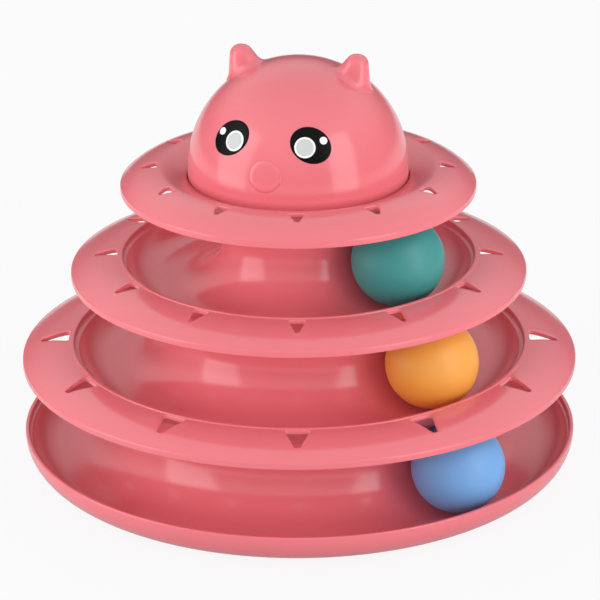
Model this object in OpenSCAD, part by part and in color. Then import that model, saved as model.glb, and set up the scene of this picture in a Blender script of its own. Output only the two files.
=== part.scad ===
// A three-storey ball track toy for cats: a base tray, two stacked track bowls, a top disc
// and a cat's head that presses into it. One ball rolls round each track.
// The face looks along -Y, +Z is up, and the origin is on the ground under the centre.

/* [Tower] */
// Outside diameter of the base tray and of the lowest brim
base_d = 250; // [230:1:290]
// How much smaller in radius each brim is than the brim below it
tier_step = 23; // [21:0.5:25]
// Thickness of the moulded walls and floors
sheet = 2; // [1.6:0.1:2.4]
// Thickness of the round hub walls
hub_wall = 2.2; // [1.8:0.1:3]
// Clearance round each plug, tongue and skirt
fit_gap = 0.3; // [0.2:0.05:0.5]

/* [Balls] */
// Diameter of each ball
ball_d = 41; // [38:0.5:43]
// Wall of the hollow balls
ball_wall = 1.4; // [1:0.1:2.5]
// Running gap under a ball
ball_gap = 0.3; // [0.2:0.05:0.5]
// Room across a track beside the ball
ball_room = 4; // [3:0.1:5]
// How far a ball stands taller than the pitch of the storeys
ball_over = 0.2; // [0:0.1:0.4]
// Where the lowest ball stands, in degrees round from the face
blue_turn = 61; // [0:1:359]
// Where the middle ball stands
orange_turn = 65; // [0:1:359]
// Where the upper ball stands
teal_turn = 69; // [0:1:359]

/* [Trays] */
// Depth of each track from its rim to its floor
tray_depth = 12.2; // [10:0.1:14]
// Radius of the curve outside the base tray
base_curve = 12.8; // [11:0.1:14]
// Radius of the curve inside the base tray
base_cove = 14.8; // [13:0.1:16]
// Fillet where a hub meets its floor
hub_fillet = 3; // [1:0.1:5]
// Step under the inside of each rim
rim_step = 0.7; // [0.3:0.1:1]
// Height of that step below the rim
rim_step_h = 3; // [2:0.1:4]

/* [Brims] */
// Width of each brim
brim_w = 22.5; // [20:0.5:24]
// How far a brim falls from its crest to its edge
brim_drop = 6.5; // [5:0.1:8]
// Height of the rolled edge
edge_h = 2.8; // [2.2:0.1:3.4]
// Thickness of the rolled edge
edge_w = 1.8; // [1.4:0.1:2.4]
// Number of triangular holes round each brim
hole_count = 12; // [8:1:14]
// Turn of the holes from the face, in degrees
hole_turn = 17; // [0:1:29]
// Length of a hole in the lowest brim
hole_l = 12.4; // [8:0.1:14]
// Width of a hole in the lowest brim at its inner end
hole_w = 11.4; // [6:0.1:13]
// Length of a hole in the upper brim
small_hole_l = 10; // [6:0.1:12]
// Width of a hole in the upper brim and in the top disc
small_hole_w = 7.8; // [5:0.1:10]

/* [Head] */
// Radius of the round head
head_r = 48.8; // [44:0.1:50]
// Wall of the hollow head
head_wall = 2; // [1.6:0.1:2.6]
// Height of the head's centre over its seat
head_rise = 7.1; // [6:0.1:9]
// How far the skirt flares out past the head
skirt_flare = 0.3; // [0.2:0.1:2]
// Height of the straight part of the skirt
skirt_h = 3.4; // [2.6:0.1:4]
// Height of the rise round the head's seat
seat_rise_h = 4.2; // [3:0.1:4.6]
// How far out the crest of the top disc lies, as a share of the way from the seat to the edge
crest_share = 0.4; // [0.3:0.01:0.5]
// Length of each locating tongue under the head
tongue_l = 5; // [4:0.1:5.4]
// Width of each locating tongue
tongue_w = 8; // [5:0.1:12]
// Number of locating tongues
tongue_count = 3; // [2:1:6]

/* [Face] */
// Turn of each eye from the middle of the face, in degrees
eye_turn = 24.9; // [20:0.1:30]
// Height of each eye's centre over the head's centre, in degrees
eye_lift = 29; // [20:0.5:40]
// Long axis of the black oval of an eye
eye_l = 18.7; // [14:0.1:21]
// Short axis of the black oval of an eye
eye_w = 15.8; // [12:0.1:18]
// Slope of the long axis, falling outwards, in degrees
eye_slope = 30; // [0:1:45]
// Diameter of the pale disc in an eye, with its white ring
disc_d = 9.2; // [7:0.1:11]
// Width of the white ring
ring_w = 0.9; // [0.5:0.1:1.5]
// Diameter of the small white dot
dot_d = 3.4; // [2:0.1:4]
// Thickness of one printed layer
ink = 0.25; // [0.2:0.05:0.4]
// Diameter of the round snout
snout_d = 14.6; // [10:0.1:18]
// Height of the snout over the face
snout_h = 0.5; // [0.3:0.1:1]

/* [Feet] */
// Diameter of each rubber foot
foot_d = 16; // [10:0.5:20]
// How far a foot stands out of the base
foot_proud = 1.2; // [0.8:0.1:2]
// Depth of the recess that holds a foot
foot_recess = 0.8; // [0.5:0.1:1.2]
// Number of rubber feet
foot_count = 4; // [4:1:4]

/* [Hidden] */

$fn = 96;
// Steps in each small arc of an outline, in the arc of the head and round a printed layer
arc_steps = 10;
head_steps = 24;
round_fn = 240;
// Steps round each sphere of an ear
ear_fn = 32;
// Overrun of every cut
over = 1;

// Height and width of the small bevels and lip roundings
bevel = 0.8;
lip_w = 1.8;
// How far the raised lip stands over the start of its brim
lip_h = 0.5;
// Height of the plug on top of each hub, and its wall
plug_h = 8;
plug_wall = 2;
// Distance of a hole from the crest of its brim, and the flat on its tip
hole_inset = 1.7;
hole_tip_share = 0.22;

ball_r = ball_d / 2;
tier_pitch = ball_d - ball_over;
base_r = base_d / 2;
base_floor_z = foot_proud + sheet;

// Outer radius of the brim of storey i, and of its crest; storey 0 is the base tray
function brim_r(i) = base_r - max(0, i - 1) * tier_step;
function crest_r(i) = i == 0 ? base_r - lip_w / 2 : brim_r(i) - brim_w;
function floor_z(i) = base_floor_z + i * tier_pitch;
function under_z(i) = floor_z(i) - sheet;
function rim_z(i) = floor_z(i) + tray_depth;
// Inside radius of a track at its rim, radius of its hub, and path of its ball
function rim_in_r(i) = crest_r(i) - lip_w / 2 - rim_step;
function hub_r(i) = rim_in_r(i) - ball_d - ball_room;
function path_r(i) = (hub_r(i) + rim_in_r(i)) / 2;
function bore_r(i) = hub_r(i) - hub_wall;
// The flat floor ends where the curve over the ball below begins
curve_share = 0.744;
function flat_r(i) = i == 0 ? base_r - base_cove - lip_w : path_r(i - 1) - curve_share * ball_r;
function wall_r(i) = crest_r(i) + bevel;
function curve_r(i) = wall_r(i) - flat_r(i);

// Plug on top of the upper hub, and the boss round it in the top disc
top_plug_r = bore_r(2) / 2 + fit_gap;
boss_wall = 2.2;
boss_h = 10;

// The head's seat in the top disc
top_z = under_z(3);
skirt_r = head_r + skirt_flare;
seat_r = skirt_r + fit_gap;
top_crest_z = rim_z(3);
seat_top_z = top_crest_z - seat_rise_h;
seat_z = seat_top_z - skirt_h + fit_gap;
web_z = seat_z - sheet;
head_z = seat_z + head_rise;
top_w = brim_r(3) - seat_r;
top_crest_r = seat_r + crest_share * top_w;
// Start and length of the disc's holes, as shares of the way from the seat to the edge
top_hole_share = [0.448, 0.22];
// How the rise steepens towards the seat
rise_power = 1.4;

// Ring of tongues under the head
tongue_t = 1.6;
tongue_r = skirt_r - head_wall - tongue_t;
tongue_root = 3;

// Spheres of an ear: across, up and radius, as shares of the head's radius
ear_shares = [[0.388, 0.83, 0.1], [0.602, 0.664, 0.09], [0.543, 1.006, 0.094], [0.568, 0.988, 0.09]];
// How far the ears stand behind the middle of the head
ear_back_share = 0.04;

// Places in an eye, in degrees round the head from the eye's centre and up
disc_turn = -3.5;
disc_lift = -1.2;
dot_turn = 7.6;
dot_lift = 1.8;
snout_lift = 9.8;

foot_ring_r = (bore_r(0) + base_r - base_curve) / 2 + bevel;

pink = [0.90, 0.46, 0.50];

function arc(cx, cy, r, a0, a1, n = arc_steps) =
    [for (k = [0:n]) let (a = a0 + (a1 - a0) * k / n) [cx + r * cos(a), cy + r * sin(a)]];

function reversed(v) = [for (k = [len(v) - 1:-1:0]) v[k]];

// Outline of the inside of a track, from its rim over the floor to the foot of its hub
function track_inside(i, cove_r, cove_z) =
    let (step_z = rim_z(i) - rim_step_h, step_r = rim_in_r(i),
         a = asin((step_z - cove_z) / cove_r),
         cove_in = flat_r(i) + cove_r * cos(a))
    concat(
        [[crest_r(i) - lip_w / 2 + bevel / 2, rim_z(i)],
         [crest_r(i) - lip_w / 2, rim_z(i) - bevel],
         [crest_r(i) - lip_w / 2, step_z + rim_step],
         [min(step_r, cove_in), step_z]],
        arc(flat_r(i), cove_z, cove_r, min(a, acos((step_r - flat_r(i)) / cove_r) * -1), -90),
        arc(hub_r(i) + hub_fillet, floor_z(i) + hub_fillet, hub_fillet, -90, -180));

// Outline of a hub's top, its plug for the next storey, and its hollow inside
function hub_top(i, plug_r, foot_z) =
    [[hub_r(i), under_z(i + 1) - bevel],
     [hub_r(i) - bevel, under_z(i + 1)],
     [plug_r, under_z(i + 1)],
     [plug_r, under_z(i + 1) + plug_h - bevel],
     [plug_r - bevel, under_z(i + 1) + plug_h],
     [plug_r - plug_wall, under_z(i + 1) + plug_h],
     [plug_r - plug_wall, under_z(i + 1) - hub_wall],
     [bore_r(i), under_z(i + 1) - hub_wall],
     [bore_r(i), foot_z]];

// Outline of a brim from its crest out to the rolled edge and back under
function brim(r0, z0, r1, z1, t) =
    let (w = r1 - r0, h = z0 - z1, big = (w * w + h * h) / (2 * h), a = asin(w / big))
    concat(
        arc(r0, z0 - big, big, 90, 90 - a),
        [[r1, z1 - edge_h + bevel / 2], [r1 - bevel / 2, z1 - edge_h], [r1 - edge_w, z1 - edge_h]],
        arc(r0, z0 - big, big - t, 90 - asin((w - edge_w) / (big - t)), 90));

module triangle_holes(r0, l, w, z0, z1) {
    for (k = [0:hole_count - 1])
        rotate([0, 0, hole_turn - 90 + k * 360 / hole_count])
            translate([r0, 0, z0])
                linear_extrude(z1 - z0)
                    polygon([[0, -w / 2], [0, w / 2], [l, w / 2 * hole_tip_share],
                             [l, -w / 2 * hole_tip_share]]);
}

module track(i, l, w) {
    difference() {
        rotate_extrude()
            polygon(concat(
                [[bore_r(i), under_z(i)]],
                arc(flat_r(i), under_z(i) + curve_r(i), curve_r(i), -90,
                    asin((rim_z(i) - lip_h - sheet - bevel - under_z(i) - curve_r(i)) / curve_r(i))),
                reversed(brim(crest_r(i) + lip_w / 2, rim_z(i) - lip_h, brim_r(i),
                              rim_z(i) - brim_drop, sheet)),
                [[crest_r(i) + lip_w / 2 - bevel / 2, rim_z(i)]],
                track_inside(i, curve_r(i) - sheet, under_z(i) + curve_r(i)),
                hub_top(i, i == 2 ? top_plug_r : bore_r(i + 1) - fit_gap, under_z(i))));
        triangle_holes(crest_r(i) + hole_inset, l, w, under_z(i), rim_z(i) + over);
    }
}

module base_tray() {
    color(pink)
        difference() {
            rotate_extrude()
                polygon(concat(
                    [[bore_r(0), foot_proud]],
                    arc(base_r - base_curve, foot_proud + base_curve, base_curve, -90, 0),
                    [[base_r, rim_z(0) - bevel], [base_r - bevel / 2, rim_z(0)]],
                    track_inside(0, base_cove, floor_z(0) + base_cove),
                    hub_top(0, bore_r(1) - fit_gap, foot_proud)));
            for (k = [0:foot_count - 1])
                foot_place(k)
                    translate([0, 0, foot_proud - over])
                        cylinder(r = foot_d / 2 + fit_gap, h = foot_recess + over);
        }
}

module foot_place(k) {
    rotate([0, 0, (k + 1 / 2) * 360 / foot_count])
        translate([foot_ring_r, 0, 0])
            children();
}

module rubber_foot(k) {
    color("dimgray")
        foot_place(k)
            rotate_extrude()
                polygon([[0, 0], [foot_d / 2 - bevel / 2, 0], [foot_d / 2, bevel / 2],
                         [foot_d / 2, foot_proud + foot_recess], [0, foot_proud + foot_recess]]);
}

module middle_track() {
    color(pink) track(1, hole_l, hole_w);
}

module upper_track() {
    color(pink) track(2, small_hole_l, small_hole_w);
}

module ball(i, turn) {
    rotate([0, 0, turn])
        translate([0, -path_r(i), floor_z(i) + ball_gap + ball_r])
            difference() {
                sphere(r = ball_r);
                sphere(r = ball_r - ball_wall);
            }
}

module blue_ball() {
    color([0.50, 0.68, 0.88]) ball(0, blue_turn);
}

module orange_ball() {
    color([0.95, 0.64, 0.30]) ball(1, orange_turn);
}

module teal_ball() {
    color([0.27, 0.62, 0.58]) ball(2, teal_turn);
}

module tongues(grow) {
    for (k = [0:tongue_count - 1])
        rotate([0, 0, (k + 1 / 2) * 360 / tongue_count])
            translate([tongue_r - grow, -tongue_w / 2 - grow, seat_z - tongue_l - grow])
                cube([tongue_t + 2 * grow, tongue_w + 2 * grow, tongue_l + tongue_root + grow]);
}

// The convex disc over the upper track: a rise round the seat, a flat web, and a boss and a
// collar that stand on the upper hub
module top_disc() {
    color(pink)
        difference() {
            rotate_extrude()
                polygon(concat(
                    [[bore_r(2) - hub_wall, top_z], [hub_r(2) - bevel, top_z], [hub_r(2), top_z + bevel],
                     [hub_r(2), web_z], [seat_r + sheet, web_z],
                     [seat_r + sheet, seat_top_z - sheet]],
                    reversed(brim(top_crest_r, top_crest_z, brim_r(3), rim_z(3) - brim_drop - bevel,
                                  sheet)),
                    [for (k = [0:arc_steps])
                        [top_crest_r - (top_crest_r - seat_r) * k / arc_steps,
                         top_crest_z - seat_rise_h * pow(k / arc_steps, rise_power)]],
                    [[seat_r, seat_z], [top_plug_r + fit_gap + boss_wall, seat_z],
                     [top_plug_r + fit_gap + boss_wall, top_z + boss_h],
                     [top_plug_r + fit_gap, top_z + boss_h], [top_plug_r + fit_gap, web_z],
                     [bore_r(2) - hub_wall, web_z]]));
            triangle_holes(seat_r + top_hole_share[0] * top_w, top_hole_share[1] * top_w,
                           small_hole_w, top_z, top_crest_z + over);
            tongues(fit_gap);
        }
}

module ear() {
    difference() {
        hull()
            for (s = ear_shares)
                translate([s[0] * head_r, ear_back_share * head_r, head_z + s[1] * head_r])
                    sphere(r = s[2] * head_r, $fn = ear_fn);
        translate([0, 0, head_z])
            sphere(r = head_r - head_wall / 2);
    }
}

module head_dome() {
    color(pink) {
        rotate_extrude()
            polygon(concat(
                [[skirt_r, seat_z], [skirt_r, seat_z + skirt_h]],
                arc(head_r + skirt_flare, seat_z + skirt_h + skirt_flare, skirt_flare, -90, -180),
                arc(0, head_z, head_r, 0, 90, head_steps),
                arc(0, head_z, head_r - head_wall, 90, 0, head_steps),
                [[head_r - head_wall, seat_z + skirt_h + skirt_flare - bevel],
                 [skirt_r - head_wall, seat_z + skirt_h - bevel], [skirt_r - head_wall, seat_z]]));
        ear();
        mirror([1, 0, 0]) ear();
        on_face(0, snout_lift)
            face_layer(head_r - head_wall / 2, head_r + snout_h)
                circle(d = snout_d);
        tongues(0);
    }
}

// Turns a piece drawn on the Z axis to a place on the head's face
module on_face(turn, lift) {
    translate([0, 0, head_z])
        rotate([0, 0, turn])
            rotate([90 - lift, 0, 0])
                children();
}

// A flat outline laid on the head between two radii
module face_layer(r0, r1) {
    intersection() {
        difference() {
            sphere(r = r1, $fn = round_fn);
            sphere(r = r0, $fn = round_fn);
        }
        linear_extrude(2 * head_r)
            children();
    }
}

// The black oval: an ellipse of round points, with its long axis falling outwards
module eye(side) {
    color([0.05, 0.05, 0.06])
        on_face(side * eye_turn, eye_lift)
            face_layer(head_r, head_r + ink)
                rotate([0, 0, -side * eye_slope])
                    polygon([for (a = [0:360 / $fn * 2:359])
                        [eye_l / 2 * cos(a), eye_w / 2 * sin(a)]]);
}

module eye_disc(side) {
    color([0.82, 0.83, 0.82])
        on_face(side * (eye_turn + disc_turn), eye_lift + disc_lift)
            face_layer(head_r + ink, head_r + 2 * ink)
                circle(d = disc_d - 2 * ring_w);
}

module eye_ring(side) {
    color("white")
        on_face(side * (eye_turn + disc_turn), eye_lift + disc_lift)
            face_layer(head_r + ink, head_r + 2 * ink)
                difference() {
                    circle(d = disc_d);
                    circle(d = disc_d - 2 * ring_w);
                }
}

module eye_dot(side) {
    color("white")
        on_face(side * (eye_turn + dot_turn), eye_lift + dot_lift)
            face_layer(head_r + ink, head_r + 2 * ink)
                circle(d = dot_d);
}

base_tray();
rubber_foot(0);  // rubber_foot_1
rubber_foot(1);  // rubber_foot_2
rubber_foot(2);  // rubber_foot_3
rubber_foot(3);  // rubber_foot_4
blue_ball();
middle_track();
orange_ball();
upper_track();
teal_ball();
top_disc();
head_dome();
eye(-1);  // left_eye
eye_disc(-1);  // left_eye_disc
eye_ring(-1);  // left_eye_ring
eye_dot(-1);  // left_eye_dot
eye(1);  // right_eye
eye_disc(1);  // right_eye_disc
eye_ring(1);  // right_eye_ring
eye_dot(1);  // right_eye_dot
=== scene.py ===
# %% [markdown]
# # A ball track tower for cats
# Three round tracks stand one over another on hollow hubs, and a ball rolls round each. A wide
# brim hangs round every track, a disc closes the tower, and a cat's head is pressed into it.
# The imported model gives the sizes. This script gives each piece its rounded edges and its
# finish, and lights it as a small product is lit in a white studio.

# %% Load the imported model
import math

import bmesh
import bpy
import numpy as np
from mathutils import Matrix, Vector


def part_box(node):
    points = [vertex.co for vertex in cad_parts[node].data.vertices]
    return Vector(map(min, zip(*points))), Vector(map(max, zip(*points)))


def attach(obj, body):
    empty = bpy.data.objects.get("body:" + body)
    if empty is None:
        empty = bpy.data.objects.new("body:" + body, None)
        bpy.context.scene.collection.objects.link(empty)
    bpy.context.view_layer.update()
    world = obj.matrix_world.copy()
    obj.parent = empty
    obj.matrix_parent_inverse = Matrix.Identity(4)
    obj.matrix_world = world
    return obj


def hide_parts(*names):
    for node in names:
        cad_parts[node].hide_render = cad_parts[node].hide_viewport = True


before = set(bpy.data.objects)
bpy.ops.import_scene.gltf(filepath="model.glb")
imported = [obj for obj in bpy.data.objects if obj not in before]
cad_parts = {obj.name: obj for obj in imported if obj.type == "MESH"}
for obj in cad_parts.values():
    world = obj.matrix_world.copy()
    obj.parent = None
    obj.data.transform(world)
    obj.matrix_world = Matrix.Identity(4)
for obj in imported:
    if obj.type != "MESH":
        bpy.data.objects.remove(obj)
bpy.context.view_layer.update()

MM = 0.001
scene = bpy.context.scene

# %% [markdown]
# ## Sizes
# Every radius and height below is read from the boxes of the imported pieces, or is one of the
# few sizes that a box can't show, such as the thickness of the moulded sheet. All of them are
# in millimetres, as on a maker's drawing, and turn into metres only when a mesh is written.

# %% Read the sizes of the mouldings


def box_mm(node):
    low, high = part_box(node)
    return [v / MM for v in low], [v / MM for v in high]


STOREYS = ("base_tray", "middle_track", "upper_track")
BALLS = ("blue_ball", "orange_ball", "teal_ball")
low, high = zip(*(box_mm(node) for node in STOREYS))
disc_high = box_mm("top_disc")[1]
head_low, head_high = box_mm("head_dome")

# The moulded sheet, the hubs and their plugs
sheet = 2.0
hub_wall = 2.2
hub_foot = 22.0
plug_h = 8.0
fit_gap = 0.3
# The lip of a track and the small step inside it
lip_w = 1.8
lip_h = 0.5
rim_step = 0.7
rim_step_h = 3.0
tray_depth = 12.2
# The brim and its turned-down edge
brim_w = 22.5
brim_drop = 6.5
edge_h = 2.8
edge_w = 1.8
# The curves of the base tray, outside and inside, and of the bowls over a ball
base_curve = 12.8
base_cove = 14.8
curve_share = 0.744
bevel = 0.8

brim_r = [high[0][0], high[1][0], high[2][0], disc_high[0]]
under_z = [low[0][2], low[1][2], low[2][2], high[2][2] - plug_h]
floor_z = [z + sheet for z in under_z]
rim_z = [z + tray_depth for z in floor_z]
ball_low, ball_high = zip(*(box_mm(ball) for ball in BALLS))
ball_r = (ball_high[0][2] - ball_low[0][2]) / 2
ball_at = [[(a + b) / 2 for a, b in zip(*pair)] for pair in zip(ball_low, ball_high)]
path_r = [math.hypot(x, y) for x, y, z in ball_at]
crest_r = [brim_r[0] - lip_w / 2] + [r - brim_w for r in brim_r[1:3]]
rim_in_r = [r - lip_w / 2 - rim_step for r in crest_r]
hub_r = [2 * path - rim for path, rim in zip(path_r, rim_in_r)]
bore_r = [r - hub_wall for r in hub_r]
plug_r = [bore_r[1] - fit_gap, bore_r[2] - fit_gap, bore_r[2] / 2 + fit_gap]
flat_r = [brim_r[0] - base_cove - lip_w] + [path - curve_share * ball_r for path in path_r[:2]]
curve_r = [crest + bevel - flat for crest, flat in zip(crest_r, flat_r)]
print("hubs:", [round(r, 1) for r in hub_r], "ball paths:", [round(r, 1) for r in path_r])

# %% [markdown]
# ## Outlines that turn
# The trays, hubs and balls are round, so each is one outline turned about the upright axis. An
# outline here is a list of corners with a radius for each. `rounded` replaces every corner with
# a short arc and adds a support point beside it, so that smooth shading stays flat on the flats
# and turns only in the corner. That small highlight along an edge is what makes a moulding
# look moulded.

# %% Round the corners of an outline


def arc(cx, cy, r, a0, a1, steps):
    angles = [math.radians(a0 + (a1 - a0) * k / steps) for k in range(steps + 1)]
    return [(cx + r * math.cos(a), cy + r * math.sin(a), 0) for a in angles]


def rounded(corners, closed=False, steps=5, support=0.35):
    """The outline with its corners rounded, each by the radius that stands third in it."""
    points = []
    count = len(corners)
    for k, (x, y, radius) in enumerate(corners):
        here = Vector((x, y))
        if radius == 0 or (not closed and k in (0, count - 1)):
            points.append(here)
            continue
        back = Vector(corners[k - 1][:2]) - here
        ahead = Vector(corners[(k + 1) % count][:2]) - here
        turn = back.angle(ahead)
        reach = min(radius / math.tan(turn / 2), back.length * 0.48, ahead.length * 0.48)
        a, b = here + back.normalized() * reach, here + ahead.normalized() * reach
        side = min(support, back.length * 0.1, ahead.length * 0.1)
        points.append(a + back.normalized() * side)
        for s in range(steps + 1):
            t = s / steps
            points.append((1 - t) ** 2 * a + 2 * t * (1 - t) * here + t ** 2 * b)
        points.append(b + ahead.normalized() * side)
    return [(p.x, p.y) for p in points]


# %% [markdown]
# A piece of Geometry Nodes does the turning. A grid has one row for each point of the outline
# and one column for each step round the axis. Every grid point looks up its outline point by
# its row and is turned by its column, and the seam is closed by merging points that meet. A
# Spin modifier could do this too, but the tree has named inputs and can be used again inside
# the tree of a whole storey.

# %% Build the lathe tree


def new_tree(name, inputs, outputs=None, kind="GeometryNodeTree"):
    """A new tree, the sockets that it is given, and the node of its result."""
    tree = bpy.data.node_groups.new(name, kind)
    for in_out, labels in (("OUTPUT", outputs or {"Geometry": "Geometry"}), ("INPUT", inputs)):
        for label, socket in labels.items():
            tree.interface.new_socket(label, in_out=in_out, socket_type="NodeSocket" + socket)
    return tree, tree.nodes.new("NodeGroupInput").outputs, tree.nodes.new("NodeGroupOutput")


def wire(tree, node, links):
    """Link each input of a node or set its value. A node stands for its first output."""
    for socket, source in links.items():
        if isinstance(source, bpy.types.Node):
            source = source.outputs[0]
        if isinstance(source, bpy.types.NodeSocket):
            tree.links.new(source, node.inputs[socket])
        else:
            node.inputs[socket].default_value = source


def add_node(tree, kind, links=None, **settings):
    node = tree.nodes.new(kind)
    for key, value in settings.items():
        setattr(node, key, value)
    wire(tree, node, links or {})
    return node


def maths(tree, operation, a, b=0.0):
    return add_node(tree, "ShaderNodeMath", {0: a, 1: b}, operation=operation)


def lathe_tree():
    tree, given, result = new_tree("turn_outline", {"Outline": "Geometry", "Segments": "Int",
                                                    "Start": "Float"})
    size = add_node(tree, "GeometryNodeAttributeDomainSize", {"Geometry": given["Outline"]})
    rows = size.outputs["Point Count"]
    columns = maths(tree, "ADD", given["Segments"], 1)
    grid = add_node(tree, "GeometryNodeMeshGrid", {"Vertices X": columns, "Vertices Y": rows})
    index = add_node(tree, "GeometryNodeInputIndex")
    row = maths(tree, "MODULO", index, rows)
    column = maths(tree, "FLOOR", maths(tree, "DIVIDE", index, rows))
    place = add_node(tree, "GeometryNodeInputPosition")
    point = add_node(tree, "GeometryNodeSampleIndex",
                     {"Geometry": given["Outline"], "Value": place, "Index": row},
                     data_type="FLOAT_VECTOR")
    step = maths(tree, "DIVIDE", math.tau, given["Segments"])
    angle = maths(tree, "ADD", maths(tree, "MULTIPLY", column, step), given["Start"])
    turned = add_node(tree, "ShaderNodeVectorRotate",
                      {"Vector": point.outputs["Value"], "Angle": angle}, rotation_type="Z_AXIS")
    shape = add_node(tree, "GeometryNodeSetPosition", {"Geometry": grid, "Position": turned})
    wire(tree, result, {0: shape})
    return tree


LATHE = lathe_tree()
MERGE = 0.01 * MM
SEGMENTS = 192

# %% [markdown]
# ## The finish
# The tower is one colour of coral pink polypropylene with a polished skin. Four things make
# such a skin look real: a colour that changes a little over the moulding, a gloss that is never
# quite even, a very shallow ripple called orange peel, and a clear shine that lies over the
# duller plastic. The first three are shared by all the materials here, so they are one shader
# group with named inputs. The last is the coat of the pink's own shader. The balls have no coat,
# because they are satin, and the printed inks are the flattest of all.

# %% Build the shared surface group


def surface_group():
    group, given, result = new_tree(
        "moulded_surface",
        {"Colour": "Color", "Shade": "Color", "Roughness": "Float", "Smudge": "Float",
         "Ripple Size": "Float", "Ripple Depth": "Float"},
        {"Colour": "Color", "Roughness": "Float", "Normal": "Vector"}, "ShaderNodeTree")
    place = add_node(group, "ShaderNodeTexCoord").outputs["Object"]
    drift = add_node(group, "ShaderNodeTexNoise", {"Vector": place, "Scale": 14.0, "Detail": 3.0})
    mixed = add_node(group, "ShaderNodeMix", {0: drift, 6: given["Colour"], 7: given["Shade"]},
                     data_type="RGBA")
    cloud = add_node(group, "ShaderNodeTexNoise", {"Vector": place, "Scale": 45.0, "Detail": 5.0})
    uneven = maths(group, "MULTIPLY", maths(group, "SUBTRACT", cloud, 0.5), given["Smudge"])
    rough = maths(group, "ADD", uneven, given["Roughness"])
    scale = maths(group, "DIVIDE", 1.0 / MM, given["Ripple Size"])
    ripple = add_node(group, "ShaderNodeTexNoise", {"Vector": place, "Scale": scale, "Detail": 1.0})
    bump = add_node(group, "ShaderNodeBump",
                    {"Height": ripple, "Strength": given["Ripple Depth"], "Distance": 0.1 * MM})
    wire(group, result, {"Colour": mixed.outputs[2], "Roughness": rough, "Normal": bump})
    return group


SURFACE = surface_group()


def srgb(red, green, blue):
    """A colour as a screen shows it, 0 to 255, made linear for a shader."""
    values = [v / 255 for v in (red, green, blue)]
    return [v / 12.92 if v <= 0.04045 else ((v + 0.055) / 1.055) ** 2.4 for v in values] + [1.0]


def new_material(name):
    material = bpy.data.materials.new(name)
    material.use_nodes = True
    return material, material.node_tree, material.node_tree.nodes["Principled BSDF"]


def plastic(name, colour, shade, rough, smudge, ripple=2.2, depth=0.1, **sockets):
    material, tree, shader = new_material(name)
    skin = add_node(tree, "ShaderNodeGroup",
                    {"Colour": srgb(*colour), "Shade": srgb(*shade), "Roughness": rough,
                     "Smudge": smudge, "Ripple Size": ripple, "Ripple Depth": depth},
                    node_tree=SURFACE)
    links = {"Base Color": skin, "Roughness": skin.outputs["Roughness"],
             "Normal": skin.outputs["Normal"]}
    links.update((label.replace("_", " "), value) for label, value in sockets.items())
    wire(tree, shader, links)
    return material


# %% Mix the plastics
# Roughness, smudge, ripple size in millimetres and ripple depth
SATIN = (0.42, 0.08, 1.6, 0.12)
INK = (0.3, 0.05, 1.2, 0.05)
PINK = plastic("coral_pink_plastic", (228, 114, 123), (224, 109, 119), 0.2, 0.06, IOR=1.5,
               Coat_Weight=0.5, Coat_Roughness=0.12)
BLUE = plastic("light_blue_plastic", (106, 157, 212), (111, 161, 216), *SATIN)
ORANGE = plastic("orange_plastic", (233, 162, 70), (229, 156, 66), *SATIN)
TEAL = plastic("teal_plastic", (58, 144, 142), (54, 139, 136), *SATIN)
RUBBER = plastic("grey_rubber", (58, 58, 60), (50, 50, 52), 0.75, 0.1, 0.8, 0.3)
BLACK_INK = plastic("black_ink", (6, 6, 8), (12, 12, 14), *INK, Specular_IOR_Level=0.1)
GREY_INK = plastic("grey_ink", (198, 202, 200), (190, 195, 193), *INK, Specular_IOR_Level=0.2)
WHITE_INK = plastic("white_ink", (246, 246, 246), (240, 240, 240), *INK)
FINISHES = (PINK, BLUE, ORANGE, TEAL, RUBBER, BLACK_INK, GREY_INK, WHITE_INK)
print("finishes:", ", ".join(finish.name for finish in FINISHES))

# %% [markdown]
# ## Running a tree
# A tree's inputs are set by the identifier of each socket, and only then is the object
# evaluated. The result is copied into a plain mesh and the modifier goes, so that what is left
# is an ordinary piece that can ride on a body.

# %% Turn a tree into a plain piece


def placed(name, data):
    obj = bpy.data.objects.new(name, data)
    scene.collection.objects.link(obj)
    return obj


def mesh_object(name, verts, faces=(), edges=(), material=None):
    """A mesh from points in millimetres. With a material it is shaded smooth."""
    mesh = bpy.data.meshes.new(name)
    mesh.from_pydata([[v * MM for v in p] for p in verts], edges, faces)
    if material:
        mesh.materials.append(material)
        mesh.shade_smooth()
    return placed(name, mesh)


def outline_object(name, points):
    edges = [(k, k + 1) for k in range(len(points) - 1)]
    return mesh_object(name, [(x, 0, z) for x, z in points], edges=edges)


def write_skin(mesh, sources):
    """Write several meshes into one, with every face turned outwards."""
    whole = bmesh.new()
    for source in sources:
        whole.from_mesh(source)
    bmesh.ops.recalc_face_normals(whole, faces=whole.faces)
    whole.to_mesh(mesh)
    whole.free()


def run_tree(name, tree, **values):
    obj = placed(name, bpy.data.meshes.new(name))
    modifier = obj.modifiers.new(name, "NODES")
    modifier.node_group = tree
    for item in tree.interface.items_tree:
        if item.item_type == "SOCKET" and item.in_out == "INPUT":
            modifier[item.identifier] = values[item.name]
    graph = bpy.context.evaluated_depsgraph_get()
    mesh = bpy.data.meshes.new_from_object(obj.evaluated_get(graph))
    obj.modifiers.remove(modifier)
    write_skin(mesh, [mesh])
    # The merged mesh can come out with an empty slot, so the plastic is set anew.
    mesh.materials.clear()
    mesh.materials.append(values["Plastic"])
    mesh.polygons.foreach_set("material_index", [0] * len(mesh.polygons))
    obj.data = mesh
    for helper in (v for v in values.values() if isinstance(v, bpy.types.Object)):
        if helper.name in scene.collection.objects:
            scene.collection.objects.unlink(helper)
    print(f"{name}: {len(mesh.polygons)} faces")
    return obj


def stand_for(piece, body, slot, *nodes):
    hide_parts(*nodes)
    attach(piece, body)


# %% Build the tree of one turned piece


def from_object(tree, given, label):
    return add_node(tree, "GeometryNodeObjectInfo", {"Object": given[label]}).outputs["Geometry"]


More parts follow.
